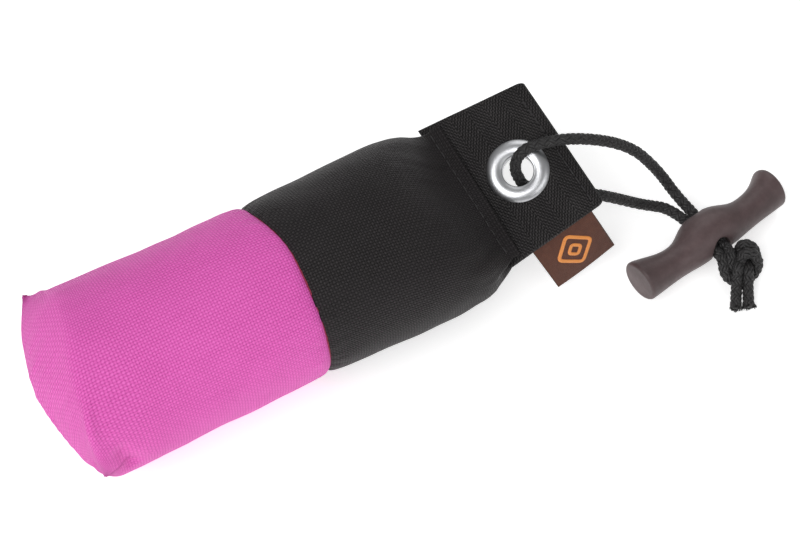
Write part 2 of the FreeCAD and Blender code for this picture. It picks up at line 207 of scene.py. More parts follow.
def grid_piece(name, P, wrap=False, uv=None, mats=(), merge=0.0, caps=()):
    """P is (rows, columns, 3) in millimetres; wrap joins the last column to the first; uv is (rows, columns[+1], 2)."""
    nr, nc = P.shape[:2]
    faces, corners = [], []
    cols = nc if wrap else nc - 1
    for j in range(nr - 1):
        for i in range(cols):
            k = (i + 1) % nc
            faces.append((j * nc + i, j * nc + k, (j + 1) * nc + k, (j + 1) * nc + i))
            if uv is not None:
                corners += [uv[j, i], uv[j, i + 1], uv[j + 1, i + 1], uv[j + 1, i]]
    for row in caps:
        ring = [row % nr * nc + i for i in range(nc)]
        faces.append(tuple(ring if row else ring[::-1]))
        if uv is not None:
            c = [uv[row, i] for i in range(nc)]
            corners += c if row else c[::-1]
    return mesh_piece(name, P.reshape(-1, 3), faces, corners if uv is not None else None, mats, merge=merge)


def grid_normals(P, wrap=True):
    du = (np.roll(P, -1, 1) - np.roll(P, 1, 1)) if wrap else np.gradient(P, axis=1)
    dv = np.gradient(P, axis=0)
    return unit(np.cross(du, dv))


def frames_along(P):
    """Tangents and two side vectors carried along a polyline without twist."""
    T = unit(np.gradient(P, axis=0))
    U = np.zeros_like(P)
    u = np.cross(T[0], [0.3, 0.5, 0.81])
    u /= np.linalg.norm(u)
    for i in range(len(P)):
        u = u - T[i] * u.dot(T[i])
        u /= np.linalg.norm(u)
        U[i] = u
    return T, U, np.cross(T, U)


def tube_arrays(P, ra, rb, U, V, sides=8, base=0, v_of=None):
    """A tube of elliptic section ra along U and rb along V. Returns verts, faces, uvs."""
    n = len(P)
    ra = np.broadcast_to(ra, (n,))
    rb = np.broadcast_to(rb, (n,))
    a = np.arange(sides) * 2 * math.pi / sides
    verts = (P[:, None] + U[:, None] * (ra[:, None] * np.cos(a))[..., None]
             + V[:, None] * (rb[:, None] * np.sin(a))[..., None]).reshape(-1, 3)
    faces, uvs = [], []
    s = np.concatenate([[0], np.cumsum(np.linalg.norm(np.diff(P, axis=0), axis=1))]) if v_of is None else v_of
    for j in range(n - 1):
        for i in range(sides):
            k = (i + 1) % sides
            faces.append((base + j * sides + i, base + j * sides + k, base + (j + 1) * sides + k, base + (j + 1) * sides + i))
            uvs += [(i / sides, s[j]), ((i + 1) / sides, s[j]), ((i + 1) / sides, s[j + 1]), (i / sides, s[j + 1])]
    faces.append(tuple(base + i for i in reversed(range(sides))))
    uvs += [(i / sides, s[0]) for i in range(sides)]
    faces.append(tuple(base + (n - 1) * sides + i for i in range(sides)))
    uvs += [(i / sides, s[-1]) for i in range(sides)]
    return verts, faces, uvs


# ---------------------------------------------------------------- materials
class Graph:
    def __init__(self, name):
        self.m = bpy.data.materials.new(name)
        self.m.use_nodes = True
        self.t = self.m.node_tree
        self.t.nodes.clear()
        self.out = self.t.nodes.new("ShaderNodeOutputMaterial")
        self.b = self.t.nodes.new("ShaderNodeBsdfPrincipled")
        self.t.links.new(self.b.outputs[0], self.out.inputs[0])

    def put(self, socket, value):
        if isinstance(value, bpy.types.NodeSocket):
            self.t.links.new(value, socket)
        else:
            socket.default_value = value

    def set(self, **kw):
        for k, v in kw.items():
            self.put(self.b.inputs[k.replace("_", " ")], v)
        return self

    def math(self, op, *ins, clamp=False):
        n = self.t.nodes.new("ShaderNodeMath")
        n.operation = op
        n.use_clamp = clamp
        for i, v in enumerate(ins):
            self.put(n.inputs[i], v)
        return n.outputs[0]

    def coord(self, kind="UV"):
        return self.t.nodes.new("ShaderNodeTexCoord").outputs[kind]

    def split(self, vec):
        n = self.t.nodes.new("ShaderNodeSeparateXYZ")
        self.put(n.inputs[0], vec)
        return n.outputs[0], n.outputs[1], n.outputs[2]

    def join(self, x, y, z=0.0):
        n = self.t.nodes.new("ShaderNodeCombineXYZ")
        self.put(n.inputs[0], x)
        self.put(n.inputs[1], y)
        self.put(n.inputs[2], z)
        return n.outputs[0]

    def noise(self, vec, scale, detail=2.0, rough=0.5):
        n = self.t.nodes.new("ShaderNodeTexNoise")
        self.put(n.inputs["Vector"], vec)
        n.inputs["Scale"].default_value = scale
        n.inputs["Detail"].default_value = detail
        n.inputs["Roughness"].default_value = rough
        return n.outputs[0]

    def ramp(self, fac, stops):
        n = self.t.nodes.new("ShaderNodeValToRGB")
        self.put(n.inputs[0], fac)
        e = n.color_ramp.elements
        while len(e) < len(stops):
            e.new(0.5)
        for i, (p, c) in enumerate(stops):
            e[i].position = p
            e[i].color = (*c, 1.0) if len(c) == 3 else c
        return n.outputs[0]

    def remap(self, v, a, b, c, d):
        n = self.t.nodes.new("ShaderNodeMapRange")
        for i, x in enumerate((v, a, b, c, d)):
            self.put(n.inputs[i], x)
        return n.outputs[0]

    def mix(self, fac, a, b):
        n = self.t.nodes.new("ShaderNodeMix")
        n.data_type = "RGBA"
        self.put(n.inputs[0], fac)
        self.put(n.inputs[6], a if isinstance(a, bpy.types.NodeSocket) else (*a, 1.0))
        self.put(n.inputs[7], b if isinstance(b, bpy.types.NodeSocket) else (*b, 1.0))
        return n.outputs[2]

    def bump(self, height, distance, strength=1.0, under=None):
        n = self.t.nodes.new("ShaderNodeBump")
        n.inputs["Strength"].default_value = strength
        n.inputs["Distance"].default_value = distance
        self.put(n.inputs["Height"], height)
        if under is not None:
            self.put(n.inputs["Normal"], under)
        return n.outputs[0]


def plain_weave(g, pitch):
    """Plain weave from the map's millimetres: height 0..1 and the yarn that is on top."""
    u, v, _ = g.split(g.coord("UV"))
    wob = g.noise(g.coord("UV"), 0.35, 2.0, 0.6)
    w = g.math("MULTIPLY", g.math("SUBTRACT", wob, 0.5), 0.35)
    k = math.pi / pitch
    su = g.math("SINE", g.math("MULTIPLY", g.math("ADD", u, w), k))
    sv = g.math("SINE", g.math("MULTIPLY", g.math("ADD", v, w), k))
    pu = g.math("POWER", g.math("ABSOLUTE", su), 0.6)
    pv = g.math("POWER", g.math("ABSOLUTE", sv), 0.6)
    both = g.math("MULTIPLY", g.math("SIGN", su), sv)
    both2 = g.math("MULTIPLY", g.math("SIGN", sv), su)
    warp = g.math("ADD", g.math("MULTIPLY", both, 0.46), g.math("MULTIPLY", pu, 0.54))
    weft = g.math("ADD", g.math("MULTIPLY", both2, -0.42), g.math("MULTIPLY", pv, 0.44))
    top = g.math("MAXIMUM", warp, weft)
    side = g.math("GREATER_THAN", warp, weft)
    return g.math("MAXIMUM", top, 0.0), side, u, v


def cloth_material(name, low, mid, high, rough, spec, sheen, sheen_tint, pitch=0.78, depth=0.00016):
    g = Graph(name)
    h, side, u, v = plain_weave(g, pitch)
    # filaments run along whichever yarn is on top
    across = g.math("ADD", g.math("MULTIPLY", side, u), g.math("MULTIPLY", g.math("SUBTRACT", 1.0, side), v))
    along = g.math("ADD", g.math("MULTIPLY", side, v), g.math("MULTIPLY", g.math("SUBTRACT", 1.0, side), u))
    fil = g.noise(g.join(g.math("MULTIPLY", across, 9.0), g.math("MULTIPLY", along, 1.6)), 1.0, 2.0, 0.6)
    blot = g.noise(g.coord("Object"), 60.0, 3.0, 0.6)
    yarn = g.noise(g.join(g.math("MULTIPLY", u, 0.9), g.math("MULTIPLY", v, 0.08)), 1.0, 1.0, 0.5)
    # colour: the weave height paints shade into the gaps between the yarns and highlight onto their crowns, cells where
    # the warp is on top get a further painted highlight, the filaments add texture, and the blots and yarn streaks are
    # random tone
    painted_shade_and_tone = g.math("ADD", g.math("MULTIPLY", h, 0.70), g.math("MULTIPLY", fil, 0.20))
    painted_shade_and_tone = g.math("ADD", painted_shade_and_tone, g.math("MULTIPLY", side, 0.10))
    painted_shade_and_tone = g.math("ADD", painted_shade_and_tone, g.math("MULTIPLY", g.math("SUBTRACT", blot, 0.5), 0.16))
    painted_shade_and_tone = g.math("ADD", painted_shade_and_tone, g.math("MULTIPLY", g.math("SUBTRACT", yarn, 0.5), 0.14))
    # low is the painted shade colour in the yarn gaps, high the painted highlight colour on the crowns
    col = g.ramp(painted_shade_and_tone, [(0.12, low), (0.5, mid), (0.92, high)])
    full = g.math("ADD", h, g.math("MULTIPLY", fil, 0.16))
    g.set(Base_Color=col, Roughness=g.remap(h, 0.0, 1.0, min(1.0, rough + 0.2), rough),
          Normal=g.bump(full, depth))
    g.set(Specular_IOR_Level=spec, Sheen_Weight=sheen, Sheen_Roughness=0.45, Sheen_Tint=(*sheen_tint, 1.0))
    return g.m


# in each cloth the first colour is painted shade between the yarns, the middle one the cloth's own colour and the last
# a painted highlight on the yarn crowns
pink_cloth = cloth_material("pink_canvas", (0.36, 0.036, 0.215), (0.70, 0.090, 0.43), (0.84, 0.16, 0.57),
                            0.58, 0.30, 0.10, (1.0, 0.75, 0.92), depth=0.00022)
black_cloth = cloth_material("black_canvas", (0.0035, 0.0030, 0.0031), (0.0110, 0.0094, 0.0098), (0.036, 0.032, 0.033),
                             0.48, 0.16, 0.03, (0.9, 0.86, 0.86), depth=0.00026)


def webbing_material():
    g = Graph("black_webbing")
    u, v, _ = g.split(g.coord("UV"))
    wob = g.noise(g.coord("UV"), 0.8, 3.0, 0.6)
    u = g.math("ADD", u, g.math("MULTIPLY", g.math("SUBTRACT", wob, 0.5), 0.7))
    # herringbone: the rib phase reverses every column
    tri = g.math("PINGPONG", u, 5.0)
    a = math.radians(36)
    ph = g.math("SUBTRACT", g.math("MULTIPLY", tri, math.cos(a)), g.math("MULTIPLY", v, math.sin(a)))
    rib = g.math("ABSOLUTE", g.math("SINE", g.math("MULTIPLY", ph, math.pi / 0.80)))
    rib = g.math("POWER", rib, 0.7)
    yarn = g.math("ABSOLUTE", g.math("SINE", g.math("MULTIPLY", u, math.pi / 0.62)))
    yarn = g.math("POWER", yarn, 0.6)
    pick = g.math("ABSOLUTE", g.math("SINE", g.math("MULTIPLY", v, math.pi / 0.70)))
    yarn = g.math("MULTIPLY", yarn, g.math("ADD", 0.45, g.math("MULTIPLY", pick, 0.55)))
    h = g.math("ADD", g.math("MULTIPLY", rib, 0.50), g.math("MULTIPLY", yarn, 0.50))
    fil = g.noise(g.join(g.math("MULTIPLY", u, 4.0), g.math("MULTIPLY", v, 2.6)), 1.0, 3.0, 0.65)
    full = g.math("ADD", h, g.math("MULTIPLY", g.math("SUBTRACT", fil, 0.35), 0.8))
    blot = g.noise(g.coord("Object"), 110.0, 3.0, 0.6)
    # colour: the rib and yarn height paints shade into the grooves and highlight grains onto the crowns, up to the
    # bright end of the ramp; the blots are random tone
    painted_shade_and_tone = g.math("ADD", g.math("MULTIPLY", full, 0.75), g.math("MULTIPLY", g.math("SUBTRACT", blot, 0.5), 0.25))
    col = g.ramp(painted_shade_and_tone, [(0.15, (0.0018, 0.0017, 0.0017)), (0.52, (0.0068, 0.0060, 0.0062)), (0.9, (0.060, 0.056, 0.056))])
    g.set(Base_Color=col, Roughness=g.remap(h, 0.0, 1.0, 0.8, 0.52), Normal=g.bump(full, 0.00022))
    g.set(Specular_IOR_Level=0.17, Sheen_Weight=0.03, Sheen_Roughness=0.5)
    return g.m


def thread_material(name, low, high, rough=0.5):
    g = Graph(name)
    u, v, _ = g.split(g.coord("UV"))
    twist = g.math("ADD", g.math("MULTIPLY", v, 2.6), g.math("MULTIPLY", u, 2.0))
    ply = g.math("ABSOLUTE", g.math("SINE", g.math("MULTIPLY", twist, math.pi)))
    fil = g.noise(g.join(g.math("MULTIPLY", u, 14.0), g.math("MULTIPLY", v, 3.0)), 1.0, 2.0, 0.6)
    h = g.math("ADD", g.math("MULTIPLY", ply, 0.7), g.math("MULTIPLY", fil, 0.3))
    # colour follows the twist: painted shade in the grooves between the plies, painted highlight on their crowns
    g.set(Base_Color=g.ramp(h, [(0.1, low), (0.8, high)]), Roughness=rough, Normal=g.bump(h, 0.00008))
    g.set(Specular_IOR_Level=0.4)
    return g.m


def cord_material():
    g = Graph("black_cord")
    u, v, _ = g.split(g.coord("UV"))
    fil = g.noise(g.join(g.math("MULTIPLY", u, 16.0), g.math("MULTIPLY", v, 1.4)), 1.0, 3.0, 0.65)
    fuzz = g.noise(g.coord("Object"), 900.0, 2.0, 0.6)
    h = g.math("ADD", g.math("MULTIPLY", fil, 0.8), g.math("MULTIPLY", fuzz, 0.2))
    # fibre streaks as colour; the bright end of the ramp is a painted highlight on the braid
    col = g.ramp(h, [(0.25, (0.0045, 0.0042, 0.0045)), (0.55, (0.017, 0.0155, 0.016)), (0.8, (0.085, 0.080, 0.080))])
    g.set(Base_Color=col, Roughness=g.remap(h, 0.2, 0.8, 0.62, 0.42), Normal=g.bump(h, 0.00012))
    g.set(Specular_IOR_Level=0.5, Sheen_Weight=0.05, Sheen_Roughness=0.4)
    return g.m


def metal_material():
    g = Graph("plated_steel")
    big = g.noise(g.coord("Object"), 260.0, 2.0, 0.5)
    fine = g.noise(g.coord("Object"), 2600.0, 3.0, 0.6)
    col = g.mix(big, (0.50, 0.505, 0.525), (0.60, 0.605, 0.62))
    g.set(Base_Color=col, Roughness=g.remap(fine, 0.3, 0.75, 0.28, 0.42), Normal=g.bump(g.math("ADD", fine, g.math("MULTIPLY", big, 1.5)), 0.00002))
    g.set(Metallic=1.0)
    return g.m


def toggle_material():
    g = Graph("grey_brown_plastic")
    big = g.noise(g.coord("Object"), 95.0, 4.0, 0.62)
    mid = g.noise(g.coord("Object"), 420.0, 3.0, 0.6)
    fine = g.noise(g.coord("Object"), 3200.0, 2.0, 0.5)
    tone = g.math("ADD", g.math("MULTIPLY", big, 0.7), g.math("MULTIPLY", mid, 0.3))
    col = g.ramp(tone, [(0.30, (0.054, 0.034, 0.034)), (0.52, (0.081, 0.051, 0.052)), (0.72, (0.112, 0.074, 0.075))])
    h = g.math("ADD", g.math("MULTIPLY", fine, 0.5), g.math("MULTIPLY", mid, 0.8))
    g.set(Base_Color=col, Roughness=g.remap(tone, 0.3, 0.7, 0.56, 0.42), Normal=g.bump(h, 0.00006))
    g.set(Specular_IOR_Level=0.45, Sheen_Weight=0.05)
    return g.m


def label_material():
    g = Graph("brown_label")
    u, v, _ = g.split(g.coord("UV"))
    ru = g.math("ABSOLUTE", g.math("SINE", g.math("MULTIPLY", u, math.pi / 0.34)))
    rv = g.math("ABSOLUTE", g.math("SINE", g.math("MULTIPLY", v, math.pi / 0.24)))
    h = g.math("ADD", g.math("MULTIPLY", ru, 0.55), g.math("MULTIPLY", rv, 0.45))
    blot = g.noise(g.coord("UV"), 0.5, 3.0, 0.6)
    warm = g.noise(g.join(g.math("MULTIPLY", u, 3.0), g.math("MULTIPLY", v, 0.6)), 1.0, 2.0, 0.5)
    # colour: the rib height paints shade into the grooves and highlight onto the ribs; the blots and the warm streaks
    # are random tone
    painted_shade_and_tone = g.math("ADD", g.math("MULTIPLY", h, 0.55), g.math("MULTIPLY", blot, 0.4))
    col = g.ramp(painted_shade_and_tone, [(0.15, (0.031, 0.0095, 0.0050)), (0.5, (0.077, 0.0240, 0.0125)), (0.85, (0.137, 0.046, 0.024))])
    col = g.mix(g.remap(warm, 0.35, 0.75, 0.0, 0.35), col, (0.13, 0.045, 0.026))
    g.set(Base_Color=col, Roughness=0.72, Normal=g.bump(h, 0.00007))
    g.set(Specular_IOR_Level=0.3, Sheen_Weight=0.12, Sheen_Roughness=0.5)
    return g.m


def satin_material():
    g = Graph("orange_thread")
    u, v, _ = g.split(g.coord("UV"))
    st = g.math("ABSOLUTE", g.math("SINE", g.math("MULTIPLY", v, math.pi / 0.30)))
    fil = g.noise(g.join(g.math("MULTIPLY", u, 1.0), g.math("MULTIPLY", v, 7.0)), 1.0, 2.0, 0.6)
    h = g.math("ADD", g.math("MULTIPLY", st, 0.7), g.math("MULTIPLY", fil, 0.3))
    # colour follows the stitch ridges: painted shade between the satin stitches, painted highlight on their crowns
    col = g.ramp(h, [(0.1, (0.38, 0.085, 0.012)), (0.5, (0.78, 0.23, 0.035)), (0.9, (0.95, 0.40, 0.09))])
    g.set(Base_Color=col, Roughness=0.42, Normal=g.bump(h, 0.00009))
    g.set(Specular_IOR_Level=0.5)
    return g.m


webbing_mat = webbing_material()
cord_mat = cord_material()
# each thread's first colour is painted shade between the plies, the second a painted highlight on them
red_thread = thread_material("red_thread", (0.10, 0.006, 0.016), (0.36, 0.030, 0.070))
pink_thread = thread_material("pink_thread", (0.30, 0.03, 0.16), (0.68, 0.12, 0.42))
black_thread = thread_material("black_thread", (0.004, 0.004, 0.004), (0.035, 0.032, 0.033), 0.42)
label_mat = label_material()
satin_mat = satin_material()

# --------------------------------------------------------------------- cord
# One braided cord: tail, knot, grip, over the tab, down the eyelet, under the
# tab, grip, knot, tail. These are the points of part.py's route and of the
# knot, in metres.
def m(p):
    return [float(v) * MM for v in p]


ROUTE = [
    (0.1186, -0.0541, 0.0019), (0.1213, -0.0500, 0.0027), (0.1238, -0.0462, 0.0056),
    m(knot(-1.0, 3.2, 1.4)), m(knot(-0.2, 1.4, 0.0)), m(knot(0.2, -0.3, 2.0)), m(knot(1.6, -0.9, 3.5)),
    m(knot(4.1, -0.6, 2.7)), m(knot(5.5, 0.9, -0.9)), m(knot(3.2, 3.3, -4.2)), m(knot(-0.6, 4.6, -4.1)),
    m(knot(-4.1, 4.3, -1.6)), m(knot(-5.0, 1.6, 0.6)),
    m(grip(8.6, -1.6)), m(grip(-12.2, -1.6)),
    (0.1098, -0.0156, 0.0110), (0.1018, -0.0152, 0.0193),
    m(tab(26.5, -15.6, -4.1)), m(tab(17.2, -8.2, -4.5)),
    m(tab(11.5, -3.05, -4.5)), m(tab(11.2, -1.2, -2.0)), m(tab(11.4, 1.4, 0.3)), m(tab(12.7, 3.2, 2.6)),
    m(tab(15.2, 4.3, 4.5)), m(tab(19.2, 4.4, 4.4)), m(tab(30.2, -0.3, 4.7)),
    (0.1102, -0.0050, 0.0279), (0.1186, -0.0096, 0.0152),
    m(grip(-13.5, 1.6)), m(grip(8.6, 1.6)),
    m(knot(-2.9, -0.2, 1.6)), m(knot(-2.6, 2.4, -0.6)), m(knot(0.4, 2.2, -2.4)), m(knot(3.4, -0.4, -3.9)),
    m(knot(5.0, -2.2, -0.8)), m(knot(3.6, -3.4, 2.6)), m(knot(0.5, -4.1, 3.0)), m(knot(-0.2, -3.2, -0.2)),
    m(knot(0.9, -1.4, -1.5)), m(knot(2.2, 1.4, -0.6)), m(knot(2.0, 3.4, 0.6)),
    (0.1249, -0.0505, 0.0028), (0.1222, -0.0555, 0.0019),
]
curve = bpy.data.curves.new("cord_line", "CURVE")
curve.dimensions = "3D"
spline = curve.splines.new("NURBS")
spline.points.add(len(ROUTE) - 1)
for pt, co in zip(spline.points, ROUTE):
    pt.co = (*co, 1.0)
spline.order_u = 3
spline.use_endpoint_u = True
spline.resolution_u = 16
line_ob = bpy.data.objects.new("cord_line", curve)
scene.collection.objects.link(line_ob)
bpy.context.view_layer.update()
line_mesh = bpy.data.meshes.new_from_object(line_ob)
LINE = np.array([v.co[:] for v in line_mesh.vertices]) / MM
bpy.data.objects.remove(line_ob)
bpy.data.meshes.remove(line_mesh)
PATH, PATH_S = resample(LINE, step=0.25)


def braid(path, lay=12.0, rc=1.18, wave=0.25, wide=0.46, thick=0.29):
    T, U, V = frames_along(path)
    n = len(path)
    s = np.arange(n) * (PATH_S[1] - PATH_S[0])
    total = s[-1]
    rng = np.random.default_rng(11)
    verts, faces, uvs = [], [], []
    base = 0
    # core, hidden between the carriers
    vv, ff, uu = tube_arrays(path[1:-1], 0.90, 0.90, U[1:-1], V[1:-1], 8, base)
    verts.append(vv)
    faces += ff
    uvs += uu
    base += len(vv)
    flare = 0.42 * (smooth(1.9, 0.0, s) + smooth(total - 1.9, total, s))
    for k in range(16):
        turn = 1 if k < 8 else -1
        ang = turn * 2 * math.pi * s / lay + (k % 8) * math.pi / 4
        w = turn * np.cos(8 * math.pi * s / lay - math.pi / 4)
        r = rc + wave * w + flare * (0.5 + rng.random())
        rad = U * np.cos(ang)[:, None] + V * np.sin(ang)[:, None]
        P = path + rad * r[:, None]
        lo = int(rng.integers(0, 4))
        hi = n - int(rng.integers(0, 4))
        P, R, TT = P[lo:hi], rad[lo:hi], unit(np.gradient(P[lo:hi], axis=0))
        side = unit(np.cross(TT, R))
        out = unit(np.cross(side, TT))
        jit = 1 + 0.05 * np.sin(s[lo:hi] * 1.7 + k * 2.1)
        vv, ff, uu = tube_arrays(P, wide * jit, thick * jit, side, out, 6, base)
        verts.append(vv)
        faces += ff
        uvs += [(a + k, b) for a, b in uu]
        base += len(vv)
    # a few loose filaments at the two cut ends
    for end, sgn in ((0, -1), (n - 1, 1)):
        for f in range(26):
            a = rng.random() * 2 * math.pi
            rr = 0.3 + 1.25 * math.sqrt(rng.random())
            d = unit(T[end] * sgn + (U[end] * math.cos(a) + V[end] * math.sin(a)) * 0.5 * rng.random())
            o = path[end] + (U[end] * math.cos(a) + V[end] * math.sin(a)) * rr - T[end] * sgn * 0.8
            L = 0.8 + 0.5 * rng.random()
            t = np.linspace(0, 1, 6)[:, None]
            P = o + d * L * t + unit(rng.normal(size=3)) * 0.22 * t * t
            P[:, 2] = np.maximum(P[:, 2], 0.12)
            _, u1, v1 = frames_along(P)
            vv, ff, uu = tube_arrays(P, 0.13, 0.13, u1, v1, 5, base)
            verts.append(vv)
            faces += ff
            uvs += uu
            base += len(vv)
    return np.concatenate(verts), faces, uvs


bv, bf, bu = braid(PATH)
bv[:, 2] = np.maximum(bv[:, 2], 0.03)
cord = mesh_piece("braided_cord", bv, bf, bu, [cord_mat])
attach(cord, "cord")
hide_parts("throw_cord", "cord_knot", "cord_tail_left", "cord_tail_right")

# ------------------------------------------------------------------- covers
ZC = 25.4
N_AROUND = 336
THETA = np.arange(N_AROUND) * 2 * math.pi / N_AROUND      # 0 far side, 90 top, 180 near side


def seam_x(y):
    return 4.6 - 3.3 * smooth(-6.0, 19.0, y)


def floor_press(P):
    """The filled cloth lies flat where it touches the ground."""
    z = P[..., 2]
    P[..., 2] = np.where(z < 1.2, 1.2 * np.exp(np.minimum(z - 1.2, 0) / 1.2) * 0.93 + 0.08, z)
    return P


def lumps(P, Nn, amount, seed):
    big = noise_at(P, 17.0, seed, 2)
    mid = noise_at(P, 7.5, seed + 31.0, 1)
    return P + Nn * (amount * (0.8 * big + 0.3 * mid))[..., None]


def seam_profile(d):
    """Radius lost at a distance d from the ring seam."""
    return pchip([0.0, 0.5, 1.4, 3.0, 6.0, 12.0, 20.0], [1.55, 1.12, 0.72, 0.38, 0.12, 0.0, 0.0], d)


# front cover: body rings, then the pillow end that closes on a straight seam
X0 = -47.0
cy, sy = np.cos(THETA), np.sin(THETA)
rows, vlen = [], []
n_body = 92
for j in range(n_body):
    t = j / (n_body - 1)
    t = t ** 1.12
    y_guess = 25.5 * cy
    xs = seam_x(y_guess)
    x = xs + (X0 - xs) * t
    d = xs - x
    W, H, zz = pchip([-47, -28, -10, 5], np.array([[26.95, 25.45, ZC], [26.3, 25.8, ZC + 0.1], [26.15, 25.9, ZC + 0.2], [26.1, 25.9, ZC + 0.2]]), x).T
    lose = seam_profile(d)
    rows.append(np.stack([x, (W - lose) * cy, zz + (H - lose) * sy], 1))
last = rows[-1]
n_end = 70
tt = np.linspace(0, 1, n_end)
B = bspline_basis(6, 3, tt)
y0, z0 = last[:, 1], last[:, 2]
lat = y0 / 26.95
side_mix = np.clip(np.abs(sy), 0, 1)
xrim = pchip([-27, -21.7, -14.5, -5.7, 5.4, 20.3, 27], [-61.0, -62.6, -61.6, -59.6, -57.0, -54.6, -55.5], y0)
xrim = np.where(sy < 0, -58.5, xrim)
xend = pchip([-27, -14, 0, 14, 27], [-62.6, -67.6, -69.6, -67.2, -61.2], y0)
xrim = np.maximum(xrim, xend + 1.2)
zend = 29.3 + 0.222 * y0 - 1.2 * np.cos(np.clip(lat, -1, 1) * math.pi / 2) ** 2
cx = np.stack([np.full_like(y0, X0), X0 + (xrim - X0) * 0.45, X0 + (xrim - X0) * 0.88, xrim - 1.2, xrim + (xend - xrim) * 0.80, xend], 0)
hf = np.array([1.0, 1.0, 1.0, 0.92, 0.44, 0.0])
Xe = B @ cx
Hf = B @ hf
spread = 1 + 0.012 * np.sin(np.pi * tt)
for j in range(1, n_end):
    z = zend + (z0 - zend) * Hf[j]
    rows.append(np.stack([Xe[j], y0 * spread[j], z], 1))
F = np.stack(rows, 0)
F_base = floor_press(F.copy())
Nf = grid_normals(F_base)
if Nf[40, N_AROUND // 4, 2] < 0:
    Nf = -Nf
P = lumps(F_base, Nf, 0.42, 3.0)
# puckers beside the ring seam
dist = np.concatenate([[0], np.cumsum(np.linalg.norm(np.diff(F_base, axis=0), axis=2).mean(1))])
arc = THETA * 26.0
puck = noise_at(np.stack([np.broadcast_to(arc, P.shape[:2]) / 2.6, np.broadcast_to(dist[:, None], P.shape[:2]) / 9.0, np.zeros(P.shape[:2])], 2), 1.0, 5.0, 2)
near_seam = (np.exp(-(dist / 5.5) ** 2) * (1 - 0.85 * np.exp(-(dist / 1.8) ** 2)))[:, None]
P += Nf * (0.42 * near_seam * puck)[..., None]
# gathers towards the end seam
to_end = (dist[-1] - dist)
gath = noise_at(np.stack([np.broadcast_to(arc, P.shape[:2]) / 4.2, np.broadcast_to(dist[:, None], P.shape[:2]) / 26.0, np.zeros(P.shape[:2])], 2), 1.0, 15.0, 2)
P += Nf * (0.65 * np.exp(-(to_end / 11.0) ** 2)[:, None] * gath)[..., None]


def crease(P, Nn, points, width, depth, ends=0.25):
    """Press a line into the surface (positive depth) or raise it."""
    pts = np.asarray(points, float)
    best = np.full(P.shape[:2], 1e9)
    pos = np.zeros(P.shape[:2])
    total = len(pts) - 1
    for i in range(total):
        a, b = pts[i], pts[i + 1]
        ab = b - a
        t = np.clip(((P - a) @ ab) / (ab @ ab), 0, 1)
        d = np.linalg.norm(P - (a + ab * t[..., None]), axis=2)
        hit = d < best
        best = np.where(hit, d, best)
        pos = np.where(hit, (i + t) / total, pos)
    fade = np.minimum(1, np.minimum(pos, 1 - pos) / ends + 0.15)
    return P - Nn * (depth * fade * np.exp(-(best / width) ** 2))[..., None]


# the fold that runs into the near ear, and the dimple beside it
P = crease(P, Nf, [(-60.5, -16.0, 46.5), (-62.3, -21.5, 40.0), (-62.2, -25.0, 32.0), (-61.5, -26.6, 25.0)], 1.5, -0.95)
P = crease(P, Nf, [(-57.5, -24.8, 34.0), (-56.0, -26.6, 27.0), (-54.0, -27.0, 21.0)], 2.4, 1.8)
P = crease(P, Nf, [(-55.0, 25.6, 34.5), (-61.0, 27.0, 35.3)], 2.4, -0.85)
P[..., 2] = np.maximum(P[..., 2], 0.06)
P[-1] = F_base[-1] + (P[-1] - F_base[-1]) * 0.2
half = N_AROUND // 2
mirror = (-np.arange(N_AROUND)) % N_AROUND
P[-1] = (P[-1] + P[-1][mirror]) / 2
# turned-in edge at the ring seam
inner = P[0].copy()
centre = np.array([0, 0, ZC])
inward = unit(np.stack([np.zeros(N_AROUND), P[0][:, 1], P[0][:, 2] - ZC], 1))
turn_in = [P[0] + np.array([0.25, 0, 0]) - inward * 0.55, P[0] + np.array([0.15, 0, 0]) - inward * 1.4]
Pf = np.concatenate([np.stack(turn_in[::-1], 0), P], 0)
vv = np.concatenate([[-1.5, -0.6], dist])
uvg = np.zeros((Pf.shape[0], N_AROUND + 1, 2))
uvg[..., 0] = np.arange(N_AROUND + 1) * 2 * math.pi / N_AROUND * 26.0
uvg[..., 1] = vv[:, None]
front = grid_piece("front_cover_cloth", Pf, True, uvg, [pink_cloth], merge=0.02)
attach(front, "bumper")
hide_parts("front_cover")

# rear cover: from the ring seam to the folded lip of the neck
ST = [
    # path, x, y, z, half width, half height, turn, power, tuck
    (0.0, 4.6, 0.0, ZC + 0.2, 26.1, 25.85, 0.00, 2.0, 0.0),
    (5.5, 10.0, 0.0, ZC + 0.2, 26.25, 25.85, 0.00, 2.0, 0.0),
    (16., 20.5, 0.0, ZC + 0.1, 26.55, 25.8, 0.10, 2.0, 0.0),
    (28., 32.5, 0.0, ZC, 27.0, 25.5, 0.24, 2.05, 0.0),
    (38., 42.5, 0.2, ZC - 0.2, 27.0, 24.4, 0.40, 2.1, 0.0),
    (46., 50.0, 0.5, ZC - 0.6, 26.5, 21.6, 0.60, 2.2, 0.0),
    (51., 54.6, 0.8, ZC - 1.0, 25.9, 18.2, 0.75, 2.3, 0.6),
    (55., 58.3, 1.2, ZC - 1.2, 25.2, 13.6, 0.87, 2.35, 3.0),
    (58.5, 61.6, 1.8, ZC - 1.1, 24.8, 8.7, 0.96, 2.4, 7.0),
]
LIP = tab(0.0, 2.7, 0.0)
ST.append((62.0, LIP[0] - 1.4, LIP[1], LIP[2] - 0.5, 24.4, 4.9, 1.0, 2.5, 11.0))
ST.append((63.4, LIP[0], LIP[1], LIP[2], 24.2, 3.35, 1.0, 2.8, 12.5))
ST = np.array(ST)


def rodrigues(v, axis, ang):
    c, s = math.cos(ang), math.sin(ang)
    return v * c + np.cross(axis, v) * s + axis * (axis.dot(v)) * (1 - c)


